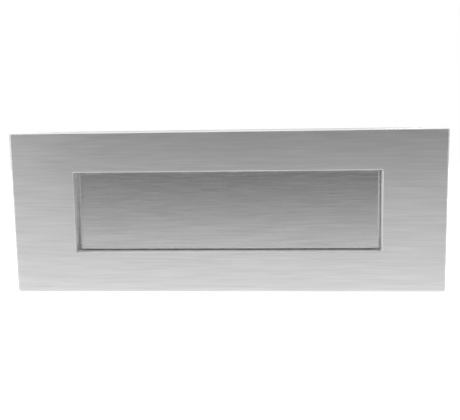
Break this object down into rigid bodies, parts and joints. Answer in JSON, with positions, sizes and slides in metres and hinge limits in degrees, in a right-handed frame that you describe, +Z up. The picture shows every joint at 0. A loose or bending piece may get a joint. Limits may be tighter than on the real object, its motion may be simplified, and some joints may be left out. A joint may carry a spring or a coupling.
{
  "type": "letter plate",
  "caption": "Rectangular satin chrome letter plate with a recessed sprung flap that opens inwards, hinge parts behind it and through fixings for a door.",
  "frame": {"origin": "middle of the plate, in the plane where the plate's back rests on the door's outside face", "axes": "+X to the right seen from outside, +Y into the door, +Z up"},
  "size_m": [0.305, 0.057, 0.114],
  "materials": {
    "face": "satin chrome plate, brushed along its length",
    "flap": "satin chrome plate, brushed along its length",
    "nut": "satin chrome plate, turned",
    "zinc_steel": "zinc plated steel",
    "pin_steel": "drawn stainless steel",
    "spring_steel": "drawn spring wire",
    "rubber": "matt black rubber",
    "nylon": "natural nylon"
  },
  "bodies": {
    "plate": {"face_plate": "face", "hinge_pin": "pin_steel", "hinge_bracket_left": "zinc_steel", "hinge_bracket_right": "zinc_steel", "bracket_screw_left_lower": "zinc_steel", "bracket_screw_left_upper": "zinc_steel", "bracket_screw_right_lower": "zinc_steel", "bracket_screw_right_upper": "zinc_steel", "pin_clip_left": "pin_steel", "pin_clip_right": "pin_steel", "spacer_washer_left": "nylon", "spacer_washer_right": "nylon", "torsion_spring_left": "spring_steel", "torsion_spring_right": "spring_steel", "fixing_stud_left": "zinc_steel", "fixing_stud_right": "zinc_steel", "fixing_washer_left": "zinc_steel", "fixing_washer_right": "zinc_steel", "fixing_nut_left": "nut", "fixing_nut_right": "nut"},
    "flap": {"flap": "flap", "buffer_pad_left": "rubber", "buffer_pad_right": "rubber"}
  },
  "joints": [
    {"name": "flap_hinge", "type": "hinge", "parent": "plate", "child": "flap", "pos_m": [0, 0.005, 0.0375], "axis": [1, 0, 0], "range_deg": [0, 90], "stiffness_Nm_per_rad": 0.2, "springref_deg": -60.16, "deforming": ["torsion_spring_left", "torsion_spring_right"]}
  ]
}
